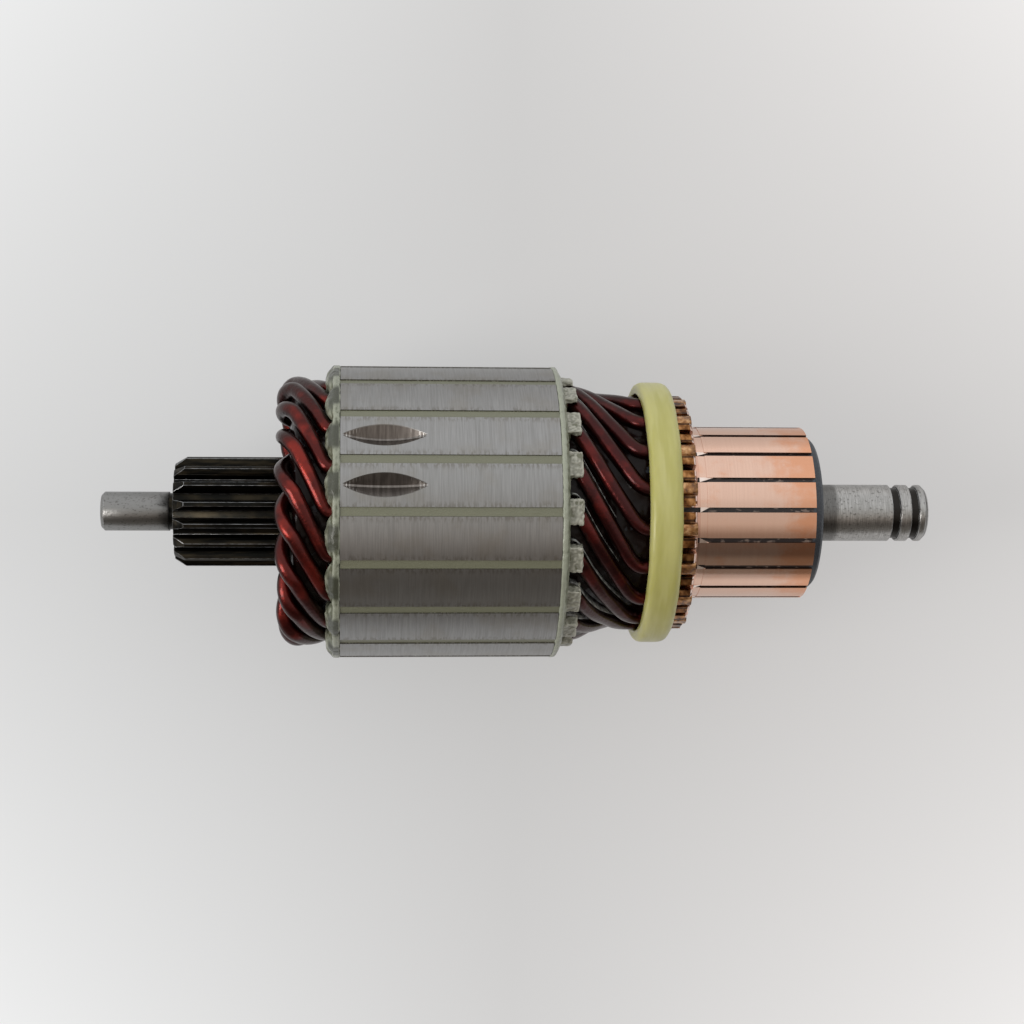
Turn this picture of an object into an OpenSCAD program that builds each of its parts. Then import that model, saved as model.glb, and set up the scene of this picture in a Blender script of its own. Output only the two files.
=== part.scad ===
// Wound armature of a geared starter motor, with its pinion cut on the shaft.
// X runs along the shaft towards the commutator and +Z is up.
// The origin is on the shaft axis, at the middle of the lamination stack.
// Angles about the shaft are measured from +Z towards -Y.

/* [Lamination stack] */
// Outer diameter of the laminations
core_d = 72; // [68:0.5:80]
// Length of the stack
core_len = 51.6; // [40:0.2:70]
// Width of the opening of a slot
opening_w = 2.2; // [1.6:0.1:3]
// Radial thickness of the lips beside the opening
lip_t = 2.8; // [2.4:0.1:3]
// Length of a balance cut
cut_len = 19.8; // [12:0.2:24]
// Depth of a balance cut
cut_depth = 2.4; // [1:0.1:2.6]
// Distance of the balance cuts from the drive end of the stack
cut_inset = 0.5; // [0.4:0.1:8]

/* [Slot fittings] */
// Width of a slot wedge over its legs
wedge_w = 5.8; // [5.6:0.1:6.2]
// Thickness of a slot wedge over the outer conductor
wedge_t = 0.9; // [0.7:0.1:1.2]
// Depth of a wedge's legs, which stand beside the outer conductor
leg_h = 3; // [1:0.1:3.4]
// How far a wedge stands out of the commutator-end insulator
wedge_out = 2.3; // [1:0.1:4]
// Depth of the wedge's rib below the surface of the stack
rib_recess = 0.3; // [0.1:0.1:1]
// Thickness of a slot liner
liner_t = 0.4; // [0.3:0.05:0.5]

/* [End insulators] */
// Thickness of the drive-end insulator at its rim
drive_cap_t = 1.8; // [1:0.1:2.6]
// Height of the pad over each tooth at the drive end
pad_h = 1.75; // [0.8:0.05:2]
// Thickness of the commutator-end insulator
comm_cap_t = 2.8; // [2:0.1:4]
// Width of the bevel on the commutator-end insulator
comm_cap_bevel = 1.2; // [0.5:0.1:1.6]
// How far the insulators stand proud of the stack
cap_proud = 0.15; // [0.05:0.05:0.3]

/* [Winding] */
// Diameter of the enamelled wire
wire_d = 3.7; // [3.2:0.1:3.8]
// Gap between the outer conductors and the wedges
wedge_gap = 0.1; // [0.1:0.05:0.2]
// Radius of the outer conductors at the waist
waist_r = 27.5; // [27.3:0.1:28.4]
// Gap between the two layers
layer_gap = 0.6; // [0.5:0.05:0.8]
// Thickness of the sheet between the layers
sheet_t = 0.2; // [0.1:0.05:0.3]
// Slots spanned by one coil
coil_span = 4; // [4:1:4]
// Turn of an outer conductor from its slot to its riser, in degrees
outer_sweep = 48.4; // [44:0.2:52]
// Commutator bars between the two ends of a coil
bar_span = 8; // [8:1:8]
// Reach of the drive-end coil heads beyond the stack
head_out = 15.8; // [14.5:0.1:18]
// Distance of the drive-end coil heads below the surface of the stack
crest_drop = 2.6; // [2.2:0.1:3.2]
// Radial thickness of the drive-end coil heads
head_t = 11.6; // [11.4:0.1:12.6]

/* [Banding ring] */
// Distance of the banding ring from the stack
ring_gap = 21.4; // [20.8:0.1:23]
// Width of the banding ring
ring_w = 7.9; // [6.5:0.1:8.4]
// Radial thickness of the banding ring
ring_t = 3; // [2:0.1:3.6]

/* [Commutator] */
// Diameter over the risers
riser_d = 58.2; // [58:0.1:60]
// Axial thickness of a riser
riser_t = 4.4; // [3.5:0.1:5]
// Distance from the stack to the outer face of the risers
riser_gap = 33; // [32.6:0.1:35]
// Width of the gap between two risers
riser_slit = 1.6; // [1.2:0.1:2]
// Diameter of the brush track
track_d = 42.9; // [42:0.1:43.2]
// Length of the copper beyond the risers
track_len = 30.2; // [24:0.2:38]
// Width of the turning relief beside the risers
relief_w = 1.8; // [1:0.1:2.4]
// Depth of the turning relief
relief_depth = 0.2; // [0.1:0.05:0.4]
// Width of the gap between two bars
bar_slit = 1.2; // [0.8:0.1:1.4]
// Depth of the gap between two bars at the track
undercut = 0.7; // [0.4:0.1:1.2]
// Radial thickness of the copper bars
bar_t = 4.2; // [3.6:0.1:4.8]
// How far the moulded hub stands out of the copper
hub_out = 2.45; // [1.5:0.05:4]
// Outer diameter of the moulded hub at its end
hub_d = 37.6; // [36:0.1:38.5]
// Outer diameter of the steel bush in the hub
bush_d = 21; // [19:0.5:23]

/* [Shaft] */
// Diameter of the pilot journal at the drive end
pilot_d = 9.6; // [8:0.1:12]
// Length of the pilot journal with its relief groove
pilot_len = 18; // [12:0.5:24]
// Diameter of the relief groove beside the pinion
neck_d = 9; // [7:0.1:11]
// Width of the relief groove beside the pinion
neck_w = 1.5; // [1:0.1:2.5]
// Module of the pinion
pinion_module = 1.5; // [1.25:0.25:1.5]
// Number of teeth on the pinion
pinion_teeth = 16; // [14:1:17]
// Distance from the stack to the end face of the pinion
pinion_out = 40.3; // [34:0.1:50]
// Distance from the stack to the run-out of the teeth
pinion_gap = 8; // [6:0.5:12]
// Diameter of the shaft in the stack
seat_d = 18; // [17:0.5:20]
// Diameter of the shaft in the commutator
hub_seat_d = 15.5; // [15:0.1:16.5]
// Diameter of the commutator-end journal
journal_d = 14.2; // [12:0.1:14.6]
// Length of the commutator-end journal
journal_len = 29.45; // [24:0.05:36]
// Width of each ring groove in the journal
groove_w = 1.85; // [1.2:0.05:2.2]
// Diameter at the floor of the ring grooves
groove_d = 12.7; // [10:0.1:13.2]
// Distance from the shaft end to the middle of the outer groove
groove_inset = 3.3; // [2.5:0.1:5]
// Distance between the two grooves
groove_pitch = 4.75; // [3.5:0.05:6]

/* [Hidden] */
$fn = 96;

// slots, and bars on the commutator
slot_count = 18;
slot_pitch = 360 / slot_count;
coil_names = [for (i = [1 : slot_count]) str("coil_", i < 10 ? "0" : "", i)];
segment_names = [for (i = [1 : slot_count]) str("segment_", i < 10 ? "0" : "", i)];

// fits
fit = 0.05; // clearance on each side of a piece that is pushed in
over = 1; // reach of a cutting tool past the face it cuts

// lamination stack
core_r = core_d / 2;
drive_face = -core_len / 2;
comm_face = core_len / 2;
wire_r = wire_d / 2;
wedge_top_r = core_r - lip_t - fit;
wedge_floor_r = wedge_top_r - wedge_t;
outer_r = wedge_floor_r - wedge_gap - wire_r; // of the middle of the outer conductors
inner_r = outer_r - wire_d - layer_gap;
slot_w = wire_d + 2 * (liner_t + 2 * fit);
slot_floor_r = inner_r - wire_r - liner_t - 2 * fit;
wedge_round = 0.5; // of a wedge's edges
leg_end_r = wedge_floor_r - leg_h;
channel_half = wire_r + wedge_gap; // of the channel between a wedge's legs
shoulder_d = 22; // collar of the shaft that the stack is pressed against
cut_half_angle = 50; // of the V in a balance cut
cutter_r = cut_len * cut_len / 8 / cut_depth + cut_depth / 2;
cutter_land = 0.5; // flat on the rim of the cutter
cutter_half = cutter_r * tan(cut_half_angle) + cutter_land / 2;
cut_tooth_angles = [-1.5 * slot_pitch, -0.5 * slot_pitch];

// end insulators
drive_cap_face = drive_face - drive_cap_t;
comm_cap_face = comm_face + comm_cap_t;
cap_r = core_r + cap_proud;
comm_cap_bevel_in = 1.5; // radial reach of that bevel below the surface of the stack
pad_side = 0.55; // from the root of a pad to the slot beside it
pad_rim_side = 1.5; // from the rim of a pad to the slot opening beside it
pad_root_half = PI * outer_r / slot_count - slot_w / 2 - pad_side;
pad_rim_half = PI * core_r / slot_count - opening_w / 2 - pad_rim_side;
pad_depth = 1.2; // of the middle of a pad's round below the face that it stands on
pad_bottom_r = outer_r - wire_r - layer_gap / 2;
pad_slope = 2.6; // radial width of the slope from a pad's crest to the rim
pad_crest_r = core_r - pad_slope;
liner_out = 0.2; // stand-out of the liners past the insulators

// commutator
riser_face = comm_face + riser_gap;
riser_back = riser_face - riser_t;
copper_end = riser_face + track_len;
hub_end = copper_end + hub_out;
hub_collar = 2.6; // length of the hub behind the risers
hub_start = riser_back - hub_collar;
riser_r = riser_d / 2;
track_r = track_d / 2;
bar_floor_r = track_r - bar_t;
foot_h = 2.2; // height of the dovetailed foot under a bar
foot_inset = 4; // distance of the foot from both ends of a bar
foot_flare = 1.2; // how far the foot spreads at its base
web_r = track_r - undercut;
riser_bevel = 0.7;
riser_fillet = 1.8;
riser_angle = outer_sweep - floor(outer_sweep / slot_pitch) * slot_pitch;
riser_outer_r = riser_r - wire_r - fit;
riser_inner_r = riser_outer_r - wire_d - 3 * fit;
riser_notch_r = riser_inner_r - wire_r - fit;
bush_r = bush_d / 2;
hub_edge = 0.6;
hub_mouth_w = 2.5; // width of the recess round the bush's mouth
hub_mouth_depth = 0.8;

// winding
inner_sweep = bar_span * slot_pitch - coil_span * slot_pitch - outer_sweep;
nose_angle = coil_span * slot_pitch / 2;
bend_start = comm_cap_face + liner_out + 0.1;
bend_end = comm_face + ring_gap - 1.2;
waist_share = 0.65; // of the commutator-end run that leads down to the waist
waist_x = bend_start + waist_share * (bend_end - bend_start);
drive_bend = drive_cap_face - liner_out - 0.3;
fold_reach = 3.05;
fold_x = drive_face - head_out + wire_r + fold_reach;
fold_rise = head_t / 2 - wire_r;
fold_r = core_r - crest_drop - head_t / 2;
fold_sweep = 24; // turn of the wire while it folds over, in degrees
slot_bend = 0.12; // part of a sloping run that the bend at the slot takes
ring_bend = 0.32; // the same for the bend before the banding ring
level_bend = 0.3; // the same for both bends of a change of radius
wire_sides = 8;
run_steps = [0, 0.06, 0.12, 0.26, 0.4, 0.54, 0.68, 0.76, 0.84, 0.92, 1];
head_steps = [0, 0.12, 0.24, 0.6, 1];
fold_steps = [30, 60, 90, 120, 150];

// banding ring
ring_start = comm_face + ring_gap;
ring_bore_r = max(riser_r, waist_r + wire_r) + 2 * fit;
ring_r = ring_bore_r + ring_t;

// shaft
pinion_face = drive_face - pinion_out;
pilot_tip = pinion_face - pilot_len;
pinion_end = drive_face - pinion_gap;
shaft_end = hub_end + journal_len;
pinion_pitch_r = pinion_module * pinion_teeth / 2;
pinion_r = pinion_pitch_r + pinion_module;
pinion_root_r = pinion_pitch_r - 0.87 * pinion_module;
pinion_base_r = pinion_pitch_r * cos(20);
pinion_angle = -7.15;
pinion_chamfer = [2.7, 1.7];
journal_chamfer = 1;
tip_chamfer = 0.8;
groove_chamfer = 0.25;

// Smooth step from 0 to 1: straight, apart from bends that take the shares a and b at its ends
function ramp(u, a = level_bend, b = level_bend) =
    let (slope = 2 / (2 - a - b))
    u <= 0 ? 0
    : u >= 1 ? 1
    : u < a ? slope * u * u / (2 * a)
    : u > 1 - b ? 1 - slope * (1 - u) * (1 - u) / (2 * b)
    : slope * (u - a / 2);

function mix(a, b, t) = a + (b - a) * t;

// Involute function of the pressure angle at radius r, in degrees
function roll_angle(r) =
    let (p = acos(min(1, pinion_base_r / r)))
    tan(p) * 180 / PI - p;

// Half the angle that a pinion tooth takes up at radius r
function tooth_half(r) =
    90 / pinion_teeth + roll_angle(pinion_pitch_r) - roll_angle(max(r, pinion_base_r));

// Radius of the outer conductors along the commutator-end run
function outer_run_r(x) =
    let (to_waist = ramp((x - bend_start) / (waist_x - bend_start)))
    let (to_riser = ramp((x - bend_end) / (riser_back - bend_end)))
    mix(mix(outer_r, waist_r, to_waist), riser_outer_r, to_riser);

// Radius of the inner conductors along the commutator-end run
function inner_run_r(x) =
    let (to_riser = ramp((x - bend_end) / (riser_back - bend_end)))
    mix(outer_run_r(x) - wire_d - layer_gap, riser_inner_r, to_riser);

// Stations of a coil, from its outer end in a riser, through both slots, to its inner end.
// Each is [x, radius, angle, fold], and fold turns the wire's outer side over at the drive end.
function outer_run() = [
    for (i = [len(run_steps) - 1 : -1 : 0])
    let (s = run_steps[i])
    let (x = mix(bend_start, bend_end, s))
    [x, outer_run_r(x), outer_sweep * ramp(s, slot_bend, ring_bend), 0]
];

function inner_run() = [
    for (s = run_steps)
    let (x = mix(bend_start, bend_end, s))
    [x, inner_run_r(x), -2 * nose_angle - inner_sweep * ramp(s, slot_bend, ring_bend), 180]
];

function outer_head() = [
    for (s = head_steps)
    [
        mix(drive_bend, fold_x, s),
        mix(outer_r, fold_r + fold_rise, ramp(s)),
        -(nose_angle - fold_sweep / 2) * ramp(s, 2 * slot_bend, 0),
        0
    ]
];

function inner_head() = [
    for (i = [len(head_steps) - 1 : -1 : 0])
    let (s = head_steps[i])
    [
        mix(drive_bend, fold_x, s),
        mix(inner_r, fold_r - fold_rise, ramp(s)),
        -2 * nose_angle + (nose_angle - fold_sweep / 2) * ramp(s, 2 * slot_bend, 0),
        180
    ]
];

function fold() = [
    for (f = fold_steps)
    [
        fold_x - fold_reach * sin(f),
        fold_r + fold_rise * cos(f),
        -nose_angle + fold_sweep * (0.5 - f / 180),
        f
    ]
];

function coil_stations() = concat(
    [[riser_face, riser_outer_r, outer_sweep, 0]],
    outer_run(),
    outer_head(),
    fold(),
    inner_head(),
    inner_run(),
    [[riser_face, riser_inner_r, -2 * nose_angle - inner_sweep, 180]]
);

function radial(angle) = [0, -sin(angle), cos(angle)];

function station_point(s) = [s[0], 0, 0] + s[1] * radial(s[2]);

function unit(v) = v / norm(v);

// Corners of the wire's section at one station
function wire_section(p, side, along) =
    let (n = unit(side - (side * along) * along))
    let (b = cross(along, n))
    [
        for (i = [0 : wire_sides - 1])
        let (a = (i + 0.5) * 360 / wire_sides)
        p + wire_r * (cos(a) * n + sin(a) * b)
    ];

// Extrudes its children along X, with their Y up
module along_x(from, to) {
    translate([from, 0, 0])
    rotate([90, 0, 90])
    linear_extrude(to - from)
    children();
}

// Turns a profile of [radius, x] points about the shaft axis
module turned(angle = 360) {
    rotate([180, 0, 0])
    rotate([0, 90, 0])
    rotate_extrude(angle = angle)
    children();
}

// Repeats its children at every slot
module around(offset = 0) {
    for (i = [0 : slot_count - 1]) {
        rotate([i * slot_pitch + offset, 0, 0]) children();
    }
}

// The conductor part of a slot, grown by g, up to radius top
module slot_body(top, g = 0) {
    translate([-slot_w / 2 - g, slot_floor_r - g])
    square([slot_w + 2 * g, top - slot_floor_r + g]);
}

// The outline of a wedge, grown by g
module wedge_outline(g = 0) {
    offset(delta = g)
    offset(r = wedge_round, $fn = 16)
    offset(delta = -wedge_round)
    translate([-wedge_w / 2, leg_end_r])
    square([wedge_w, wedge_top_r - leg_end_r]);
}

// Section of a wedge, open below from the left leg, or from the left edge, to the right leg
module wedge_section(open_from) {
    difference() {
        wedge_outline();
        translate([open_from, leg_end_r - over])
        square([channel_half - open_from, wedge_floor_r - leg_end_r + over]);
    }
}

module slot_opening() {
    translate([-opening_w / 2, wedge_floor_r])
    square([opening_w, core_r - wedge_floor_r + over]);
}

module repeated_2d() {
    for (i = [0 : slot_count - 1]) {
        rotate(i * slot_pitch) children();
    }
}

// V-shaped cut milled into one tooth by a double-angle cutter
module balance_cut() {
    translate([drive_face + cut_inset + cut_len / 2, 0, core_r + cutter_r - cut_depth])
    rotate([90, 0, 0])
    rotate_extrude()
    polygon([
        [0, -cutter_half],
        [cutter_r, -cutter_land / 2],
        [cutter_r, cutter_land / 2],
        [0, cutter_half]
    ]);
}

module pinion_profile() {
    flank = [for (k = [0 : 4]) mix(pinion_base_r, pinion_r + 0.3, k / 4)];
    radii = concat([pinion_root_r - 0.4], flank);
    intersection() {
        circle(pinion_r);
        union() {
            circle(pinion_root_r);
            for (i = [0 : pinion_teeth - 1]) {
                rotate(90 + i * 360 / pinion_teeth)
                polygon(concat(
                    [for (r = radii) r * [cos(tooth_half(r)), sin(tooth_half(r))]],
                    [
                        for (i = [len(radii) - 1 : -1 : 0])
                        let (r = radii[i])
                        r * [cos(tooth_half(r)), -sin(tooth_half(r))]
                    ]
                ));
            }
        }
    }
}

// Pinion teeth with the lead-in chamfer at the outer end and a sloping run-out
module pinion() {
    intersection() {
        rotate([pinion_angle, 0, 0])
        along_x(pinion_face, pinion_end)
        pinion_profile();
        turned()
        polygon([
            [0, pinion_face],
            [pinion_r - pinion_chamfer[1], pinion_face],
            [pinion_r + 0.01, pinion_face + pinion_chamfer[0]],
            [pinion_r + 0.01, pinion_end - 2],
            [shoulder_d / 2, pinion_end],
            [0, pinion_end]
        ]);
    }
}

// Half profile of the ring groove whose middle is at x
function groove_points(x) = [
    [journal_d / 2, x - groove_w / 2 - groove_chamfer],
    [journal_d / 2 - groove_chamfer, x - groove_w / 2],
    [groove_d / 2, x - groove_w / 2],
    [groove_d / 2, x + groove_w / 2],
    [journal_d / 2 - groove_chamfer, x + groove_w / 2],
    [journal_d / 2, x + groove_w / 2 + groove_chamfer]
];

module shaft() {
    color([0.42, 0.41, 0.40])
    union() {
        pinion();
        turned()
        polygon(concat(
            [
                [0, pilot_tip],
                [pilot_d / 2 - tip_chamfer, pilot_tip],
                [pilot_d / 2, pilot_tip + tip_chamfer],
                [pilot_d / 2, pinion_face - neck_w],
                [neck_d / 2, pinion_face - neck_w],
                [neck_d / 2, pinion_face + 0.5],
                [pinion_root_r - 1, pinion_face + 0.5],
                [pinion_root_r - 1, pinion_end - 0.5],
                [shoulder_d / 2, pinion_end - 0.5],
                [shoulder_d / 2, drive_face],
                [seat_d / 2, drive_face],
                [seat_d / 2, comm_cap_face + 6],
                [hub_seat_d / 2, comm_cap_face + 6.8],
                [hub_seat_d / 2, hub_end],
                [journal_d / 2, hub_end]
            ],
            groove_points(shaft_end - groove_inset - groove_pitch),
            groove_points(shaft_end - groove_inset),
            [
                [journal_d / 2, shaft_end - journal_chamfer],
                [journal_d / 2 - journal_chamfer, shaft_end],
                [0, shaft_end]
            ]
        ));
    }
}

module lamination_stack() {
    color([0.60, 0.59, 0.57])
    difference() {
        along_x(drive_face, comm_face)
        difference() {
            circle(core_r);
            circle(seat_d / 2);
            repeated_2d() {
                slot_body(wedge_floor_r);
                wedge_outline(fit);
                slot_opening();
            }
        }
        for (a = cut_tooth_angles) {
            rotate([a, 0, 0]) balance_cut();
        }
    }
}

// Rounded pad that the coating makes over one tooth, wider at the rim
module pad() {
    rotate([slot_pitch / 2, 0, 0])
    translate([drive_cap_face + pad_depth, 0, pad_bottom_r])
    cylinder(
        r1 = norm([pad_root_half, pad_depth]),
        r2 = norm([pad_rim_half, pad_depth]),
        h = core_r - pad_bottom_r
    );
}

// Epoxy coating of the drive end of the stack, with a pad over each tooth
module drive_end_insulator() {
    color([0.62, 0.64, 0.56])
    difference() {
        union() {
            along_x(drive_cap_face, drive_face)
            difference() {
                circle(cap_r);
                circle(shoulder_d / 2 + fit);
            }
            intersection() {
                around() pad();
                turned()
                polygon([
                    [0, drive_cap_face - pad_h],
                    [pad_crest_r, drive_cap_face - pad_h],
                    [core_r - 0.6, drive_cap_face],
                    [core_r - 0.6, drive_face - 0.5],
                    [0, drive_face - 0.5]
                ]);
            }
        }
        along_x(drive_cap_face - pad_h - over, drive_face + over)
        repeated_2d()
        slot_body(wedge_floor_r);
    }
}

// Epoxy flange on the commutator end of the stack, with a bevelled rim
module commutator_end_insulator() {
    color([0.62, 0.64, 0.56])
    difference() {
        turned()
        polygon([
            [seat_d / 2 + fit, comm_face],
            [cap_r, comm_face],
            [cap_r, comm_cap_face - comm_cap_bevel],
            [core_r - comm_cap_bevel_in, comm_cap_face],
            [seat_d / 2 + fit, comm_cap_face]
        ]);
        along_x(comm_face - over, comm_cap_face + over)
        repeated_2d() {
            slot_body(wedge_floor_r);
            wedge_outline(fit);
        }
    }
}

// U-shaped sheets that line the slots
module slot_liners() {
    color([0.78, 0.74, 0.60])
    along_x(drive_cap_face - liner_out, comm_cap_face + liner_out)
    repeated_2d()
    difference() {
        slot_body(leg_end_r - fit, -fit);
        translate([-wire_r - fit, slot_floor_r + fit + liner_t])
        square([wire_d + 2 * fit, core_r]);
    }
}

// Channels that close the slots over the outer conductors, with a rib that fills the slot opening.
// Outside the insulator each is open on the side to which the conductor bends.
module slot_wedges() {
    color([0.66, 0.66, 0.56])
    around() {
        along_x(drive_face, comm_cap_face)
        wedge_section(-channel_half);
        along_x(drive_face, comm_cap_face + wedge_out)
        wedge_section(-wedge_w);
        along_x(drive_face, comm_face)
        translate([-opening_w / 2 + fit, wedge_top_r - 0.2])
        square([opening_w - 2 * fit, core_r - rib_recess - wedge_top_r + 0.2]);
    }
}

// Sheet between the two layers of coil heads at the drive end
module drive_end_layer_sheet() {
    start_r = outer_r - wire_r - layer_gap / 2;
    start = drive_cap_face - pad_h - fit;
    color([0.20, 0.17, 0.14])
    turned()
    polygon([
        [start_r - sheet_t / 2, start],
        [start_r + sheet_t / 2, start],
        [fold_r + sheet_t / 2, fold_x + 1],
        [fold_r - sheet_t / 2, fold_x + 1]
    ]);
}

// Sheet between the two layers at the commutator end, which follows their waist
module commutator_end_layer_sheet() {
    ends = [bend_start, ring_start];
    mid_r = function (x) outer_run_r(x) - wire_r - layer_gap / 2;
    steps = [for (i = [0 : 8]) mix(ends[0], ends[1], i / 8)];
    color([0.20, 0.17, 0.14])
    turned()
    polygon(concat(
        [for (x = steps) [mid_r(x) - sheet_t / 2, x]],
        [for (i = [8 : -1 : 0]) [mid_r(steps[i]) + sheet_t / 2, steps[i]]]
    ));
}

// One wave-wound hairpin: both legs, the fold at the drive end and both riser ends
module coil(index) {
    stations = coil_stations();
    path = [for (s = stations) station_point(s)];
    last = len(path) - 1;
    rings = [
        for (i = [0 : last])
        let (along = i == 0 ? [-1, 0, 0] : i == last ? [1, 0, 0] : unit(path[i + 1] - path[i - 1]))
        let (f = stations[i][3])
        let (side = cos(f) * radial(stations[i][2]) - sin(f) * [1, 0, 0])
        each wire_section(path[i], side, along)
    ];
    n = wire_sides;
    walls = [
        for (i = [0 : last - 1], j = [0 : n - 1])
        let (a = i * n + j, b = i * n + (j + 1) % n)
        each [[a, a + n, b], [b, a + n, b + n]]
    ];
    first_cap = [for (j = [1 : n - 2]) [0, j, j + 1]];
    last_cap = [for (j = [1 : n - 2]) [last * n, last * n + j + 1, last * n + j]];
    color([0.35, 0.08, 0.07])
    rotate([index * slot_pitch, 0, 0])
    polyhedron(points = rings, faces = concat(walls, first_cap, last_cap));
}

// Profile of a bar with its riser, from the outer face of the riser to its foot
function bar_profile() =
    let (relief_r = track_r - relief_depth)
    let (relief_start = riser_face + riser_fillet)
    concat(
        [
            [bar_floor_r, riser_back],
            [riser_r, riser_back],
            [riser_r, riser_face - riser_bevel],
            [riser_r - riser_bevel, riser_face]
        ],
        [
            for (a = [0 : 22.5 : 90])
            [
                relief_r + riser_fillet * (1 - sin(a)),
                relief_start - riser_fillet * cos(a)
            ]
        ],
        [
            [relief_r, relief_start + relief_w],
            [track_r, relief_start + relief_w],
            [track_r, copper_end],
            [bar_floor_r, copper_end],
            [bar_floor_r, copper_end - foot_inset],
            [bar_floor_r - foot_h, copper_end - foot_inset + foot_flare],
            [bar_floor_r - foot_h, riser_back + foot_inset - foot_flare],
            [bar_floor_r, riser_back + foot_inset]
        ]
    );

// One copper bar with its slotted riser
module segment(index) {
    mid = riser_angle + index * slot_pitch;
    color([0.80, 0.50, 0.36])
    rotate([mid, 0, 0])
    difference() {
        rotate([-slot_pitch / 2, 0, 0])
        turned(slot_pitch)
        polygon(bar_profile());
        for (side = [-1, 1]) {
            rotate([side * slot_pitch / 2, 0, 0])
            translate([riser_back - over, -bar_slit / 2, 0])
            cube([copper_end - riser_back + 2 * over, bar_slit, riser_r + over]);
            rotate([side * slot_pitch / 2, 0, 0])
            translate([riser_back - over, -riser_slit / 2, track_r + riser_fillet])
            cube([riser_t + 2 * over, riser_slit, riser_r]);
        }
        translate([riser_back - over, -wire_r - fit, riser_notch_r])
        cube([riser_t + 2 * over, wire_d + 2 * fit, riser_r]);
    }
}

// Moulded resin that holds the bars, with a web in each gap between them
module commutator_hub() {
    color([0.20, 0.22, 0.25])
    union() {
        turned()
        polygon([
            [bush_r, hub_start],
            [bar_floor_r - 0.5, hub_start],
            [bar_floor_r, hub_start + 0.5],
            [bar_floor_r, riser_back + foot_inset],
            [bar_floor_r - foot_h, riser_back + foot_inset - foot_flare],
            [bar_floor_r - foot_h, copper_end - foot_inset + foot_flare],
            [bar_floor_r, copper_end - foot_inset],
            [bar_floor_r, copper_end],
            [hub_d / 2 + 0.2, copper_end],
            [hub_d / 2, hub_end - hub_edge],
            [hub_d / 2 - hub_edge, hub_end],
            [bush_r + hub_mouth_w, hub_end],
            [bush_r + hub_mouth_w - 0.5, hub_end - hub_mouth_depth],
            [bush_r, hub_end - hub_mouth_depth]
        ]);
        rotate([riser_angle, 0, 0])
        around(slot_pitch / 2) {
            translate([riser_back, -bar_slit / 2, bar_floor_r - 0.4])
            cube([copper_end - riser_back, bar_slit, web_r - bar_floor_r + 0.4]);
            translate([riser_back + foot_inset, -bar_slit / 2, bar_floor_r - foot_h - 0.4])
            cube([copper_end - riser_back - 2 * foot_inset, bar_slit, foot_h + 0.8]);
        }
    }
}

// Steel sleeve in the hub, which is pressed on the shaft
module commutator_bush() {
    color([0.50, 0.50, 0.51])
    along_x(hub_start, hub_end - hub_mouth_depth)
    difference() {
        circle(bush_r);
        circle(hub_seat_d / 2);
    }
}

// Glass-fibre band over the coil ends, crowned and rounded towards the risers
module banding_ring() {
    edge = 1.5;
    round_r = ring_t - 0.9;
    color([0.74, 0.74, 0.42])
    turned()
    polygon(concat(
        [
            [ring_bore_r, ring_start],
            [ring_r - edge, ring_start]
        ],
        [
            for (a = [30 : 30 : 90])
            [ring_r - edge + edge * sin(a), ring_start + edge * (1 - cos(a))]
        ],
        [
            for (a = [90 : -22.5 : 0])
            [
                ring_r - round_r + round_r * sin(a),
                ring_start + ring_w - round_r + round_r * cos(a)
            ]
        ],
        [[ring_bore_r, ring_start + ring_w]]
    ));
}

shaft();
lamination_stack();
drive_end_insulator();
commutator_end_insulator();
slot_liners();
slot_wedges();
drive_end_layer_sheet();
commutator_end_layer_sheet();
for (i = [0 : slot_count - 1]) {
    coil(i);
}
for (i = [0 : slot_count - 1]) {
    segment(i);
}
commutator_hub();
commutator_bush();
banding_ring();
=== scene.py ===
"""Looks of the motor armature: finer windings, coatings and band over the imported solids, and every finish.

Lengths are in metres, with MM for sizes given in millimetres. X runs along the shaft towards the
commutator, and an angle about it is measured from +Z towards -Y.
"""

import math
import random

import bmesh
import bpy
from mathutils import Matrix, Vector, noise


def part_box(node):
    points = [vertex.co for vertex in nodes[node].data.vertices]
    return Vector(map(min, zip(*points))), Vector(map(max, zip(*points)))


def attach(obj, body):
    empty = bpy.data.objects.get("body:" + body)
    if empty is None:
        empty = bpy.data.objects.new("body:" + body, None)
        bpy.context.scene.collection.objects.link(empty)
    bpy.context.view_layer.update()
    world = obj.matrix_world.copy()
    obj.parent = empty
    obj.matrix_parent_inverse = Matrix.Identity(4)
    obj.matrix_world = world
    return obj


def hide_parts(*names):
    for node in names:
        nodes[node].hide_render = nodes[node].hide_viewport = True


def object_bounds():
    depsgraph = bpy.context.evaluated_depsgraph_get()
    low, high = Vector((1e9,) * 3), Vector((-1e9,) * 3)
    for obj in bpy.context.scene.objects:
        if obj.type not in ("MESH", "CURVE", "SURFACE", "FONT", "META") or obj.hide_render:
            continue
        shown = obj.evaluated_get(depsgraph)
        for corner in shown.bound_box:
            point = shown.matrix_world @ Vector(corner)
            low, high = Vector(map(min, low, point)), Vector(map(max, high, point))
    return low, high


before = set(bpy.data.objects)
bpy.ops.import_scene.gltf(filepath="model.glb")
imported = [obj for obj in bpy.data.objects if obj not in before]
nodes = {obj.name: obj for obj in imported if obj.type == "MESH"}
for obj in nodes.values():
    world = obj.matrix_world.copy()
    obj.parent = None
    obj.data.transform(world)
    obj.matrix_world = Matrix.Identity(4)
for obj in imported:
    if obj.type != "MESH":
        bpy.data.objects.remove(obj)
cad_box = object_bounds()

MM = 0.001
SLOTS = 18
PITCH = math.tau / SLOTS

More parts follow.
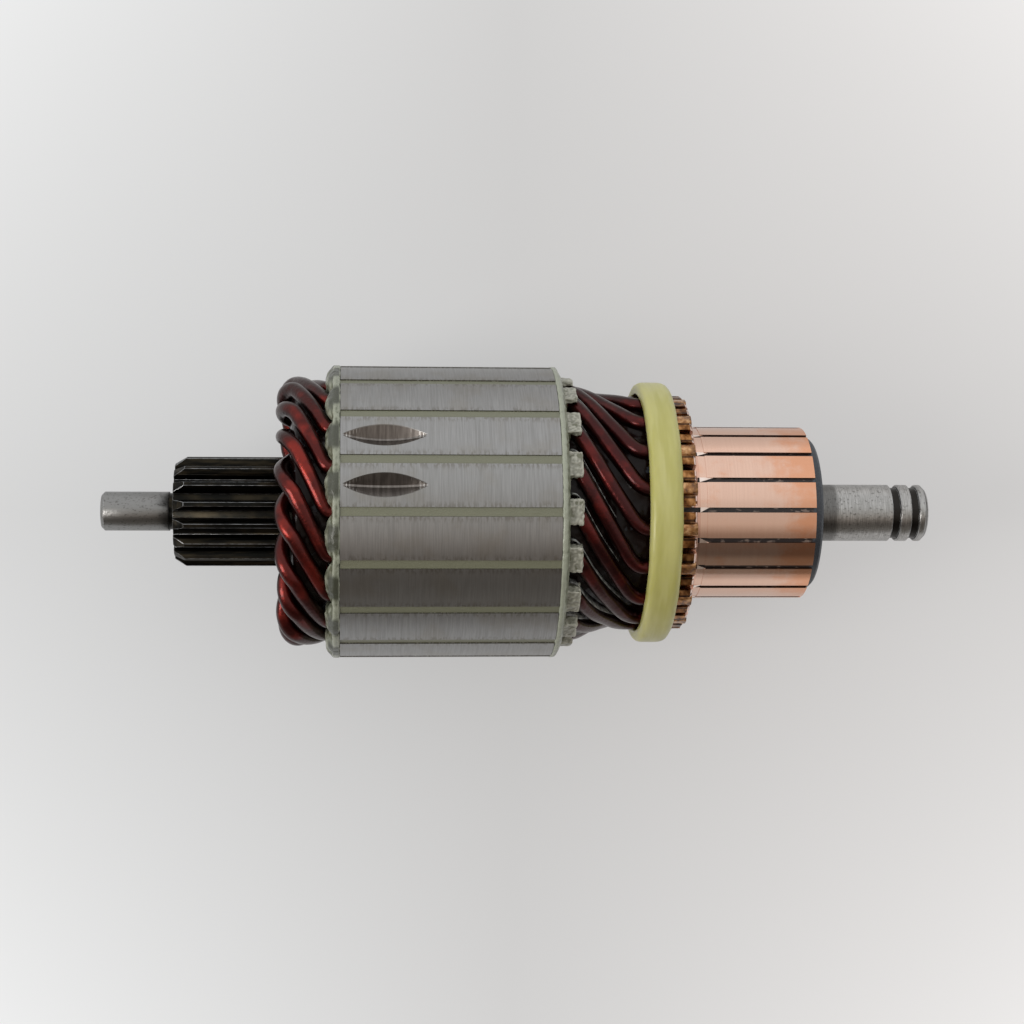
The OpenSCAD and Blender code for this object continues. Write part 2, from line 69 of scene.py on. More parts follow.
# places along the shaft and radii, from the solids
STACK_LO, STACK_HI = (corner.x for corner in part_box("lamination_stack"))
CORE_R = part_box("drive_end_insulator")[1].z - 0.15 * MM
DRIVE_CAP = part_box("drive_end_insulator")[0].x
COMM_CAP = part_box("commutator_end_insulator")[1].x
TONGUE_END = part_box("slot_wedges")[1].x
RING_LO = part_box("banding_ring")[0].x
RISER_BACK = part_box("segment_01")[0].x
COPPER_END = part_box("segment_01")[1].x
HUB_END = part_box("commutator_hub")[1].x
SHAFT_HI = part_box("shaft")[1].x
HEAD_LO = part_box("coil_01")[0].x
RISER_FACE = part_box("coil_01")[1].x

# winding
WIRE_R = 1.85 * MM
OUTER_R = 30.3 * MM
INNER_R = 26.0 * MM
WAIST_R = 27.5 * MM
CREST_R = 31.55 * MM
HEAD_INNER_R = 23.65 * MM
RISER_OUTER_R = 27.2 * MM
RISER_INNER_R = 23.35 * MM
OUTER_SWEEP = math.radians(48.4)
INNER_SWEEP = math.radians(31.6)
COIL_SPAN = 4 * PITCH
FOLD_SWEEP = math.radians(24)
FOLD_REACH = 3.05 * MM
TRACK_R = 21.45 * MM
SEGMENT_ANGLE = math.radians(8.4)
CUT_MIDDLE = STACK_LO + 10.6 * MM

# the run of a wire from its slot to its riser: where it starts, and where it bends along the shaft again
RUN_START = COMM_CAP + 0.3 * MM
RUN_ELBOW = RING_LO + 0.2 * MM
RUN_BENDS = (0.12, 0.26)
WAIST_SHARE = 0.65

# the coil head: where a wire leaves its slot, and where it starts to fold over
HEAD_START = STACK_LO - 2.3 * MM
FOLD_START = HEAD_LO + WIRE_R + FOLD_REACH
HEAD_SWEEP = (COIL_SPAN - FOLD_SWEEP) / 2


# ---------------------------------------------------------------- shader building


class Shader:
    """A material with one Principled shader, and short calls that add the nodes that feed it."""

    def __init__(self, name, colour=(0.5, 0.5, 0.5), metallic=0.0, roughness=0.5, **sockets):
        self.material = bpy.data.materials.new(name)
        self.material.use_nodes = True
        self.tree = self.material.node_tree
        self.shader = self.tree.nodes["Principled BSDF"]
        self.set("Base Color", (*colour, 1.0))
        self.set("Metallic", metallic)
        self.set("Roughness", roughness)
        for socket, value in sockets.items():
            self.set(socket.replace("_", " "), value)

    def set(self, socket, value):
        """Sets a socket of the shader to a constant, or links an output to it."""
        if isinstance(value, bpy.types.NodeSocket):
            self.tree.links.new(value, self.shader.inputs[socket])
        else:
            self.shader.inputs[socket].default_value = value

    def node(self, kind, inputs=(), **settings):
        made = self.tree.nodes.new(kind)
        for key, value in settings.items():
            setattr(made, key, value)
        for key, value in dict(inputs).items():
            if isinstance(value, bpy.types.NodeSocket):
                self.tree.links.new(value, made.inputs[key])
            else:
                made.inputs[key].default_value = value
        return made

    def math(self, operation, a, b=0.0, c=0.0):
        return self.node("ShaderNodeMath", {0: a, 1: b, 2: c}, operation=operation).outputs[0]

    def place(self):
        """Object coordinates in millimetres, as separate x, y and z."""
        coordinates = self.node("ShaderNodeTexCoord").outputs["Object"]
        scaled = self.node("ShaderNodeVectorMath", {0: coordinates, 3: 1000.0}, operation="SCALE")
        split = self.node("ShaderNodeSeparateXYZ", {0: scaled.outputs[0]})
        return split.outputs[0], split.outputs[1], split.outputs[2]

    def round_place(self):
        """(x, angle about the shaft in radians, radius), with lengths in millimetres."""
        x, y, z = self.place()
        angle = self.math("ARCTAN2", self.math("MULTIPLY", y, -1.0), z)
        square = self.math("ADD", self.math("MULTIPLY", y, y), self.math("MULTIPLY", z, z))
        radius = self.math("POWER", square, 0.5)
        return x, angle, radius

    def vector(self, x=0.0, y=0.0, z=0.0):
        return self.node("ShaderNodeCombineXYZ", {0: x, 1: y, 2: z}).outputs[0]

    def noise(self, vector, scale, detail=3.0, rough=0.55):
        inputs = {"Vector": vector, "Scale": scale, "Detail": detail, "Roughness": rough}
        return self.node("ShaderNodeTexNoise", inputs).outputs["Fac"]

    def step(self, value, low, high):
        """0 below low and 1 above high, smooth between."""
        made = self.node(
            "ShaderNodeMapRange",
            {"Value": value, "From Min": low, "From Max": high},
            interpolation_type="SMOOTHSTEP",
        )
        return made.outputs[0]

    def mix(self, amount, a, b):
        """Mix of two colours."""
        made = self.node("ShaderNodeMix", {"Factor": amount}, data_type="RGBA")
        for socket, value in ((6, a), (7, b)):
            if isinstance(value, bpy.types.NodeSocket):
                self.tree.links.new(value, made.inputs[socket])
            else:
                made.inputs[socket].default_value = (*value, 1.0)
        return made.outputs[2]

    def ramp(self, value, *stops):
        """Colour ramp with (place, colour) stops."""
        made = self.node("ShaderNodeValToRGB", {"Fac": value})
        elements = made.color_ramp.elements
        while len(elements) < len(stops):
            elements.new(0.5)
        for element, (place, colour) in zip(elements, stops):
            element.position = place
            element.color = (*colour, 1.0)
        return made.outputs[0]

    def scale(self, value, low, high):
        """Spreads a 0 to 1 value over low to high."""
        return self.math("MULTIPLY_ADD", value, high - low, low)

    def bump(self, height, strength, distance, normal=None):
        inputs = {"Height": height, "Strength": strength, "Distance": distance}
        if normal is not None:
            inputs["Normal"] = normal
        made = self.node("ShaderNodeBump", inputs)
        self.set("Normal", made.outputs[0])
        return made.outputs[0]


# ---------------------------------------------------------------- mesh building


def add_object(name, mesh, *finishes):
    made = bpy.data.objects.new(name, mesh)
    bpy.context.scene.collection.objects.link(made)
    for finish in finishes:
        mesh.materials.append(finish)
    return made


def smooth_mesh(name, points, faces, tags=None):
    """A mesh with smooth shading; tags gives each face's material index."""
    mesh = bpy.data.meshes.new(name)
    mesh.from_pydata(points, [], faces)
    mesh.polygons.foreach_set("use_smooth", [True] * len(faces))
    if tags:
        mesh.polygons.foreach_set("material_index", tags)
    mesh.update()
    return mesh


def around(radius, angle, x):
    """The point at that radius, angle and place along the shaft."""
    return Vector((x, -radius * math.sin(angle), radius * math.cos(angle)))


def ramp(u, a, b):
    """Smooth step from 0 to 1: straight, apart from bends that take the shares a and b at its ends."""
    slope = 2 / (2 - a - b)
    if u <= 0:
        return 0.0
    if u >= 1:
        return 1.0
    if u < a:
        return slope * u * u / (2 * a)
    if u > 1 - b:
        return 1 - slope * (1 - u) ** 2 / (2 * b)
    return slope * (u - a / 2)


def mix(a, b, t):
    return a + (b - a) * t


# ---------------------------------------------------------------- winding


class Bend:
    """How one hand-bent coil differs from the next."""

    def __init__(self, seed):
        dice = random.Random(seed)
        self.elbow = dice.uniform(-1.1, 0.9) * MM
        self.lean = math.radians(dice.uniform(-1.1, 1.1))
        self.lift = dice.uniform(-0.25, 0.1) * MM
        self.sag = dice.uniform(-0.1, 0.5) * MM
        self.nose = dice.uniform(0.0, 0.7) * MM
        self.crest = dice.uniform(-0.35, 0.0) * MM
        self.drift = math.radians(dice.uniform(-1.0, 1.0))


def run_angle(x):
    """Angle of an even outer wire from its slot, on its run to the riser."""
    return OUTER_SWEEP * ramp((x - RUN_START) / (RUN_ELBOW - RUN_START), *RUN_BENDS)


def run_radius(x):
    """Radius of an even outer wire on that run."""
    waist = mix(RUN_START, RUN_ELBOW, WAIST_SHARE)
    return mix(OUTER_R, WAIST_R, ramp((x - RUN_START) / (waist - RUN_START), 0.3, 0.3))


def coil_path(bend):
    """(x, radius, angle, turn) along one hairpin, from its outer riser end to its inner one."""
    elbow = RUN_ELBOW + bend.elbow
    waist = mix(RUN_START, elbow, WAIST_SHARE)
    fold_x = FOLD_START + bend.nose
    fold_r = (CREST_R + HEAD_INNER_R) / 2
    path = []

    def outer_r(x):
        down = mix(OUTER_R, WAIST_R + bend.lift, ramp((x - RUN_START) / (waist - RUN_START), 0.3, 0.3))
        return mix(down, RISER_OUTER_R, ramp((x - elbow) / (RISER_BACK - elbow), 0.3, 0.3))

    def inner_r(x):
        down = mix(INNER_R, WAIST_R - 4.3 * MM, ramp((x - RUN_START) / (waist - RUN_START), 0.3, 0.3))
        return mix(down, RISER_INNER_R, ramp((x - elbow) / (RISER_BACK - elbow), 0.3, 0.3))

    def wander(u):
        return math.sin(math.pi * min(1.0, max(0.0, u))) ** 2

    steps = 40
    for x in (RISER_FACE, RISER_BACK + 0.5 * MM, RISER_BACK - 0.6 * MM, RISER_BACK - 2.2 * MM):
        path.append((x, outer_r(x), OUTER_SWEEP, 0.0))
    for k in range(steps + 1):
        u = 1 - k / steps
        x = mix(RUN_START, elbow, u)
        angle = OUTER_SWEEP * ramp(u, *RUN_BENDS) + bend.lean * wander(u)
        path.append((x, outer_r(x) - bend.sag * wander(u) * 0.5, angle, 0.0))
    for x in (STACK_HI - 2 * MM, STACK_LO + 2 * MM):
        path.append((x, OUTER_R, 0.0, 0.0))
    steps = 18
    for k in range(steps + 1):
        u = k / steps
        crest = CREST_R + bend.crest
        angle = -HEAD_SWEEP * ramp(u, 0.24, 0) + bend.drift * wander(u)
        path.append((mix(HEAD_START, fold_x, u), mix(OUTER_R, crest, ramp(u, 0.3, 0.3)), angle, 0.0))
    steps = 22
    for k in range(1, steps):
        f = math.pi * k / steps
        outer_rise = (CREST_R - HEAD_INNER_R) / 2 + (bend.crest if f < math.pi / 2 else 0.0)
        radius = fold_r + outer_rise * math.cos(f)
        angle = -COIL_SPAN / 2 + FOLD_SWEEP * (0.5 - k / steps)
        path.append((fold_x - FOLD_REACH * math.sin(f), radius, angle, f))
    steps = 14
    for k in range(steps + 1):
        u = 1 - k / steps
        angle = -COIL_SPAN + HEAD_SWEEP * ramp(u, 0.24, 0)
        radius = mix(INNER_R, HEAD_INNER_R, ramp(u, 0.3, 0.3))
        path.append((mix(HEAD_START, fold_x, u), radius, angle, math.pi))
    for x in (STACK_LO + 2 * MM, STACK_HI - 2 * MM):
        path.append((x, INNER_R, -COIL_SPAN, math.pi))
    steps = 24
    for k in range(steps + 1):
        u = k / steps
        x = mix(RUN_START, elbow, u)
        path.append((x, inner_r(x), -COIL_SPAN - INNER_SWEEP * ramp(u, 0.12, 0.32), math.pi))
    for x in (RISER_BACK - 0.6 * MM, RISER_BACK + 0.5 * MM, RISER_FACE):
        path.append((x, inner_r(x), -COIL_SPAN - INNER_SWEEP, math.pi))
    return path


def wire_corner(turn, squareness):
    """Point on the wire's outline: round, or a rounded square as squareness goes to 1."""
    c, s = math.cos(turn), math.sin(turn)
    power = mix(2.0, 5.0, squareness)
    size = (abs(c) ** power + abs(s) ** power) ** (-1 / power)
    return c * size, s * size * mix(1.0, 0.9, squareness)


def sweep_coil(name, index, finishes):
    """One coil's wire along its path, pressed square where it lies in its risers."""
    sides = 20
    path = coil_path(Bend(index + 11))
    offset = index * PITCH
    centres = [around(radius, angle + offset, x) for x, radius, angle, _ in path]
    points, faces, tags = [], [], []
    last = len(path) - 1
    for i, (x, _, angle, fold) in enumerate(path):
        if i == 0:
            along = Vector((-1, 0, 0))
        elif i == last:
            along = Vector((1, 0, 0))
        else:
            along = (centres[i + 1] - centres[i - 1]).normalized()
        out = around(1.0, angle + offset, 0.0) * math.cos(fold) - Vector((math.sin(fold), 0, 0))
        out = (out - out.dot(along) * along).normalized()
        side = along.cross(out)
        square = min(1.0, max(0.0, (x - RISER_BACK + 1.5 * MM) / (1.5 * MM)))
        for k in range(sides):
            up, across = wire_corner(math.tau * k / sides, square)
            points.append(centres[i] + WIRE_R * (up * out + across * side))
    for i in range(last):
        bare = path[i][0] > RISER_BACK - 1.3 * MM
        for k in range(sides):
            j = (k + 1) % sides
            faces.append((i * sides + k, (i + 1) * sides + k, (i + 1) * sides + j, i * sides + j))
            tags.append(1 if bare else 0)
    faces.append(tuple(range(sides)))
    faces.append(tuple(last * sides + k for k in reversed(range(sides))))
    tags += [1, 1]
    coil = add_object(name + "_wire", smooth_mesh(name, points, faces, tags), *finishes)
    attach(coil, "root")
    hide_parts(name)


def make_winding():
    enamel, bare = enamel_finish(), riser_conductor_finish()
    for index in range(SLOTS):
        sweep_coil(f"coil_{index + 1:02d}", index, (enamel, bare))


def pooled_surface(name, stations, path_angle):
    """Varnish between the wires, coloured near black as painted shade: a turned skin that rises to each wire.
    stations are (x, radius, rise).
    """
    around_steps = SLOTS * 14
    points, faces = [], []
    for x, radius, rise in stations:
        middle = path_angle(x)
        for k in range(around_steps):
            angle = math.tau * k / around_steps
            near = 0.5 + 0.5 * math.cos(SLOTS * (angle - middle))
            ripple = 0.3 * MM * noise.noise(Vector((x, math.cos(angle) * 0.03, math.sin(angle) * 0.03)) * 260)
            points.append(around(radius + rise * near**2 + ripple, angle, x))
    for i in range(len(stations) - 1):
        for k in range(around_steps):
            j = (k + 1) % around_steps
            a, b = i * around_steps, (i + 1) * around_steps
            faces.append((a + k, a + j, b + j, b + k))
    skin = add_object(name, smooth_mesh(name, points, faces), varnish_and_shade_finish())
    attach(skin, "root")


def pool_varnish_and_shade():
    """The varnish skins of both winding ends, near black as painted shade between the wires."""
    steps = 36
    stations = []
    for k in range(steps + 1):
        x = mix(COMM_CAP - 0.3 * MM, RING_LO + 1.5 * MM, k / steps)
        stations.append((x, run_radius(x) - 1.5 * MM, 1.0 * MM))
    pooled_surface("commutator_end_varnish_and_shade", stations, run_angle)

    def head_share(x):
        return (HEAD_START - x) / (HEAD_START - FOLD_START)

    def head_angle(x):
        return -HEAD_SWEEP * ramp(head_share(x), 0.24, 0)

    steps = 20
    stations = []
    for k in range(steps + 1):
        u = k / steps
        x = mix(DRIVE_CAP + 0.3 * MM, FOLD_START - 1.2 * MM, u)
        radius = mix(OUTER_R, CREST_R, ramp(head_share(x), 0.3, 0.3))
        nose_fall = 5.0 * MM * max(0.0, u - 0.8) ** 2 / 0.04
        stations.append((x, radius - 1.6 * MM - nose_fall, 1.0 * MM))
    pooled_surface("drive_end_varnish_and_shade", stations, head_angle)


def edge_ribbons():
    """Edges of the insulation sheet that stand up between the wires beside the flange."""
    dice = random.Random(5)
    points, faces = [], []
    for slot in range(SLOTS):
        reach = dice.uniform(0.25, 0.85)
        shift = math.radians(dice.uniform(-1.5, 1.0))
        steps = 24
        first = len(points)
        for k in range(steps + 1):
            x = mix(COMM_CAP - 0.2 * MM, mix(RUN_START, RUN_ELBOW, reach), k / steps)
            angle = slot * PITCH + run_angle(x) - PITCH * 0.40 + shift * math.sin(3 * k / steps)
            run = run_radius(x)
            top = run + mix(1.35, -0.6, (k / steps) ** 2) * MM
            half = 0.16 * MM / run
            for radius, turn in ((top, -half), (top, half), (top - 2.2 * MM, half), (top - 2.2 * MM, -half)):
                points.append(around(radius, angle + turn, x))
        for k in range(steps):
            a, b = first + 4 * k, first + 4 * (k + 1)
            for m in range(4):
                n = (m + 1) % 4
                faces.append((a + m, b + m, b + n, a + n))
        faces.append((first, first + 1, first + 2, first + 3))
        end = first + 4 * steps
        faces.append((end + 3, end + 2, end + 1, end))
    s = Shader("sheet_edge", (0.20, 0.21, 0.20), roughness=0.4)
    place = s.vector(*s.place())
    dry = s.step(s.noise(place, 0.6, 3.0), 0.38, 0.6)
    s.set("Base Color", s.mix(dry, (0.05, 0.05, 0.05), (0.26, 0.27, 0.26)))
    ribbons = add_object("commutator_end_sheet_edges", smooth_mesh("sheet_edges", points, faces), s.material)
    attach(ribbons, "root")


def soften(piece, voxel, smoothing, lump, scale, high_r):
    """Remeshes a piece and gives it the unevenness of a dipped or poured material, inside radius high_r."""
    remesh = piece.modifiers.new("remesh", "REMESH")
    remesh.mode = "VOXEL"
    remesh.voxel_size = voxel
    smooth = piece.modifiers.new("smooth", "SMOOTH")
    smooth.iterations = smoothing
    bpy.context.view_layer.update()
    graph = bpy.context.evaluated_depsgraph_get()
    mesh = bpy.data.meshes.new_from_object(piece.evaluated_get(graph))
    piece.modifiers.clear()
    piece.data = mesh
    normals = [v.normal.copy() for v in mesh.vertices]
    for vertex, normal in zip(mesh.vertices, normals):
        wave = noise.noise(vertex.co * scale) + 0.5 * noise.noise(vertex.co * scale * 2.3)
        vertex.co += normal * (lump * wave)
        radius = math.hypot(vertex.co.y, vertex.co.z)
        if radius > high_r:
            vertex.co.yz *= high_r / radius
    mesh.polygons.foreach_set("use_smooth", [True] * len(mesh.polygons))


def swell_pads(mesh):
    """Adds the full round lobe of coating over each tooth of the drive end to a mesh."""
    centre_x, centre_r = DRIVE_CAP + 2.4 * MM, 32.9 * MM
    body = bmesh.new()
    body.from_mesh(mesh)
    for tooth in range(SLOTS):
        angle = (tooth + 0.5) * PITCH
        turn = Matrix.Rotation(angle, 4, "X") @ Matrix.Translation((centre_x, 0.0, centre_r))
        shape = Matrix.Diagonal((2.4 * MM, 5.3 * MM, 3.0 * MM, 1.0))
        bmesh.ops.create_uvsphere(body, u_segments=24, v_segments=14, radius=1.0, matrix=turn @ shape)
    body.to_mesh(mesh)
    body.free()


def cast(name, voxel, smoothing, lump, scale, finish, squeeze=1.0):
    """Replaces a node by a softened copy of itself, with its length beyond the stack times squeeze."""
    piece = add_object(name + "_cast", nodes[name].data.copy())
    if name == "drive_end_insulator":
        swell_pads(piece.data)
    if squeeze < 1:
        for vertex in piece.data.vertices:
            vertex.co.x = mix(STACK_HI, vertex.co.x, squeeze)
    soften(piece, voxel, smoothing, lump, scale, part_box(name)[1].z)
    piece.data.materials.clear()
    piece.data.materials.append(finish)
    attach(piece, "root")
    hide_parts(name)


def wedge_tongues(finish):
    """The crusted ends of the slot wedges, each with a leg beside its wire."""
    section = (
        (-3.1, 31.9), (-3.1, 33.3), (3.1, 33.3), (3.1, 29.4), (1.9, 29.4), (1.9, 31.9)
    )
    points, faces = [], []
    for slot in range(SLOTS):
        angle = slot * PITCH
        first = len(points)
        for x in (STACK_HI + 0.6 * MM, TONGUE_END + 0.25 * MM):
            for across, up in section:
                y = across * math.cos(angle) - up * math.sin(angle)
                z = across * math.sin(angle) + up * math.cos(angle)
                points.append(Vector((x, y * MM, z * MM)))
        count = len(section)
        for k in range(count):
            j = (k + 1) % count
            faces.append((first + k, first + j, first + count + j, first + count + k))
        faces.append(tuple(first + k for k in reversed(range(count))))
        faces.append(tuple(first + count + k for k in range(count)))
    tongues = add_object("wedge_tongues", smooth_mesh("wedge_tongues", points, faces))
    soften(tongues, 0.24 * MM, 6, 0.32 * MM, 700, CORE_R)
    tongues.data.materials.clear()
    tongues.data.materials.append(finish)
    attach(tongues, "root")


def slot_burrs():
    """Feather edges that the undercutting saw left where it ran into each slot beside the risers."""
    dice = random.Random(8)
    start = RISER_FACE + 1.8 * MM
    half = 0.62 * MM / TRACK_R
    points, faces = [], []
    for slot in range(SLOTS):
        angle = SEGMENT_ANGLE + (slot + 0.5) * PITCH
        reach = dice.uniform(2.0, 3.6) * MM
        side = -1 if dice.random() < 0.7 else 1
        first = len(points)
        for x, radius, turn in (
            (start, TRACK_R - 0.03 * MM, -half),
            (start, TRACK_R - 0.03 * MM, half),
            (start + reach, TRACK_R - 0.25 * MM, side * half),
            (start, TRACK_R - 0.6 * MM, -half),
            (start, TRACK_R - 0.6 * MM, half),
            (start + reach, TRACK_R - 0.5 * MM, side * half),
        ):
            points.append(around(radius, angle + turn, x))
        for face in ((0, 1, 2), (5, 4, 3), (0, 3, 4, 1), (1, 4, 5, 2), (2, 5, 3, 0)):
            faces.append(tuple(first + k for k in face))
    mesh = smooth_mesh("slot_burrs", points, faces)
    mesh.polygons.foreach_set("use_smooth", [False] * len(faces))
    burrs = add_object("slot_burrs", mesh, burr_finish())
    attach(burrs, "root")


# ---------------------------------------------------------------- finishes


def enamel_finish():
    """Wine-red enamel over copper under clear varnish, with painted shade: darker towards each wire's
    silhouette edges, so that its middle stands out like a highlight.
    """
    s = Shader("wire_enamel", metallic=0.9, roughness=0.3, Coat_Weight=0.22, Coat_Roughness=0.07)
    x, y, z = s.place()
    place = s.vector(x, y, z)
    patch = s.noise(place, 0.16, 3.0)
    fine = s.noise(place, 1.1, 3.0)
    drive_end = s.step(x, 0.0, -20.0)
    red = s.mix(drive_end, (0.115, 0.013, 0.011), (0.215, 0.022, 0.015))
    red = s.mix(s.step(patch, 0.42, 0.66), s.mix(drive_end, (0.05, 0.008, 0.008), (0.09, 0.011, 0.009)), red)
    # painted shade: a facing ramp darkens each wire towards its silhouette edges, so that its middle stands
    # out like a highlight
    facing = s.node("ShaderNodeLayerWeight", {"Blend": 0.5}).outputs["Facing"]
    dark = s.step(s.math("ADD", facing, s.scale(patch, 0.2, -0.2)), 0.02, 0.58)
    red = s.mix(dark, red, (0.030, 0.006, 0.005))
    s.set("Base Color", s.mix(s.step(fine, 0.64, 0.8), red, (0.02, 0.004, 0.004)))
    s.set("Roughness", s.scale(patch, 0.24, 0.38))
    s.bump(s.math("ADD", s.math("MULTIPLY", fine, 0.5), patch), 0.5, 0.35 * MM)
    return s.material


def riser_conductor_finish():
    """Copper end of a conductor under brown varnish."""
    s = Shader("riser_conductor", metallic=0.75, roughness=0.35, Coat_Weight=0.5, Coat_Roughness=0.15)
    place = s.vector(*s.place())
    blot = s.noise(place, 0.7, 4.0)
    brown, amber, bright = (0.12, 0.045, 0.015), (0.40, 0.18, 0.055), (0.70, 0.42, 0.20)
    s.set("Base Color", s.ramp(blot, (0.35, brown), (0.52, amber), (0.68, bright)))
    s.bump(s.noise(place, 2.5, 3.0), 0.4, 0.2 * MM)
    return s.material


def lamination_finish():
    """Turned edges of the sheets: fine rings, stains, darker combed streaks beside the slots, and milled
    balance cuts.
    """
    s = Shader("laminations", metallic=1.0, roughness=0.38)
    x, angle, radius = s.round_place()
    core = CORE_R / MM
    arc = s.math("MULTIPLY", angle, core)
    ring = s.noise(s.vector(x, s.math("MULTIPLY", arc, 0.04), 0.0), 3.2, 2.0)
    sheet = s.noise(s.vector(x, s.math("MULTIPLY", arc, 0.02), 7.0), 1.3, 3.0)
    stain = s.noise(s.vector(s.math("MULTIPLY", x, 0.1), s.math("MULTIPLY", arc, 0.09), 3.0), 1.0, 4.0)
    steel = s.mix(s.step(ring, 0.3, 0.7), (0.285, 0.284, 0.281), (0.335, 0.334, 0.332))
    steel = s.mix(s.scale(s.step(sheet, 0.5, 0.72), 0.0, 0.35), steel, (0.215, 0.212, 0.205))
    steel = s.mix(s.scale(s.step(stain, 0.46, 0.66), 0.0, 0.35), steel, (0.25, 0.23, 0.195))
    # darker combed streaks beside each slot
    from_slot = s.math("PINGPONG", angle, PITCH / 2)
    comb = s.step(s.noise(s.vector(x, s.math("MULTIPLY", arc, 0.3), 9.0), 1.7, 2.0), 0.46, 0.60)
    slot_edge_dark = s.math("MULTIPLY", s.step(from_slot, 0.085, 0.035), comb)
    steel = s.mix(s.math("MULTIPLY", slot_edge_dark, 0.42), steel, (0.13, 0.115, 0.09))
    milled = s.noise(s.vector(s.math("MULTIPLY", x, 1.2), s.math("MULTIPLY", arc, 0.15), 0.0), 1.0, 3.0)
    cut = s.mix(s.step(milled, 0.35, 0.65), (0.15, 0.135, 0.125), (0.235, 0.215, 0.20))
    torn = s.step(s.noise(s.vector(x, 0.0, 3.0), 2.4, 2.0), 0.52, 0.6)
    from_middle = s.math("ABSOLUTE", s.math("SUBTRACT", x, CUT_MIDDLE / MM))
    torn = s.math("MULTIPLY", torn, s.step(from_middle, 5.0, 7.2))
    shallow = s.math("MULTIPLY", s.step(radius, core - 1.0, core - 0.5), torn)
    cut = s.mix(s.math("MULTIPLY", shallow, 0.8), cut, (0.62, 0.61, 0.59))
    inside = s.step(radius, core - 0.07, core - 0.2)
    s.set("Base Color", s.mix(inside, steel, cut))
    s.set("Roughness", s.scale(sheet, 0.30, 0.42))
    s.bump(ring, 0.25, 0.05 * MM)
    return s.material


def epoxy_finish(name, light, dark, bubbles=0.5, lobes=0.0):
    """Baked epoxy coating: grey-green, glossy, pitted, paler over convex edges and darker in hollows.

    lobes darkens the thick middle of each lobe over a tooth of the drive end.
    """
    s = Shader(name, roughness=0.32, IOR=1.5, Coat_Weight=0.25, Coat_Roughness=0.15)
    place = s.vector(*s.place())
    cloud = s.noise(place, 0.5, 3.0)
    grain = s.noise(place, 3.2, 3.0)
    # paler over convex edges and darker in hollows, following the mesh's pointiness
    bend = s.node("ShaderNodeNewGeometry").outputs["Pointiness"]
    convex_pale = s.math("ADD", s.step(bend, 0.47, 0.55), s.scale(cloud, -0.5, 0.5))
    base = s.mix(s.step(convex_pale, 0.1, 0.9), dark, light)
    if lobes:
        x, angle, _ = s.round_place()
        from_slot = s.math("PINGPONG", angle, PITCH / 2)
        front, back = DRIVE_CAP / MM, STACK_LO / MM
        along = s.math("MULTIPLY", s.step(x, front + 0.2, front + 1.0), s.step(x, back - 0.1, back - 0.5))
        uneven = s.math("ADD", from_slot, s.scale(cloud, -0.03, 0.03))
        dome = s.math("MULTIPLY", s.step(uneven, 0.055, 0.11), along)
        base = s.mix(s.math("MULTIPLY", dome, lobes), base, tuple(0.42 * c for c in dark))
        bubbles = s.math("MULTIPLY_ADD", dome, -0.8 * bubbles, bubbles)
    pale = tuple(min(1.0, c * 1.6) for c in light)
    s.set("Base Color", s.mix(s.math("MULTIPLY", s.step(grain, 0.6, 0.75), bubbles), base, pale))
    s.set("Roughness", s.scale(grain, 0.2, 0.48))
    s.bump(s.math("ADD", grain, s.math("MULTIPLY", cloud, 1.5)), 0.5, 0.2 * MM)
    return s.material


def shaft_finish():
    """Ground steel, scored beside the commutator; the pinion is dark and oiled."""
    s = Shader("shaft_steel", metallic=1.0, roughness=0.3)
    x, angle, radius = s.round_place()
    arc = s.math("MULTIPLY", angle, 7.0)
    turned = s.noise(s.vector(s.math("MULTIPLY", x, 2.2), s.math("MULTIPLY", arc, 0.12), 0.0), 2.0, 3.0)
    pits = s.noise(s.vector(x, arc, radius), 1.6, 4.0)
    pinion_start = -67.8
    steel = s.mix(s.step(turned, 0.3, 0.75), (0.30, 0.295, 0.285), (0.50, 0.495, 0.485))
    steel = s.mix(s.step(x, pinion_start + 0.1, pinion_start - 0.1), steel, (0.70, 0.70, 0.69))
    steel = s.mix(s.scale(s.step(pits, 0.55, 0.68), 0.0, 0.6), steel, (0.09, 0.085, 0.08))
    start = HUB_END / MM
    scored = s.step(x, start + 7.2, start + 5.4)
    steel = s.mix(s.scale(scored, 0.0, 0.7), steel, (0.06, 0.058, 0.055))
    groove = s.step(radius, 6.85, 6.6)
    journal = s.math("MULTIPLY", s.step(x, 60.0, 61.0), s.step(x, SHAFT_HI / MM - 0.3, SHAFT_HI / MM - 0.5))
    steel = s.mix(s.math("MULTIPLY", groove, journal), steel, (0.03, 0.028, 0.026))
    smoke = s.noise(s.vector(s.math("MULTIPLY", x, 0.12), s.math("MULTIPLY", angle, 2.0), radius), 1.0, 4.0)
    dark = s.mix(s.step(smoke, 0.42, 0.66), (0.010, 0.010, 0.009), (0.030, 0.025, 0.017))
    pinion = s.math("MULTIPLY", s.step(x, pinion_start, pinion_start + 0.2), s.step(x, 30.0, 29.0))
    s.set("Base Color", s.mix(pinion, steel, dark))
    s.set("Roughness", s.scale(pits, 0.24, 0.42))
    s.bump(s.math("ADD", turned, s.math("MULTIPLY", pits, 1.5)), 0.4, 0.06 * MM)
    return s.material


def edge_highlight_finish():
    """Painted highlight: steel painted pale in patches along bevelled edges, standing in for light caught on
    them.
    """
    s = Shader("painted_edge_highlight", metallic=1.0, roughness=0.35)
    highlight_patches = s.noise(s.vector(*s.place()), 0.8, 3.0)
    s.set("Base Color", s.mix(s.step(highlight_patches, 0.4, 0.6), (0.16, 0.16, 0.165), (0.42, 0.43, 0.44)))
    return s.material


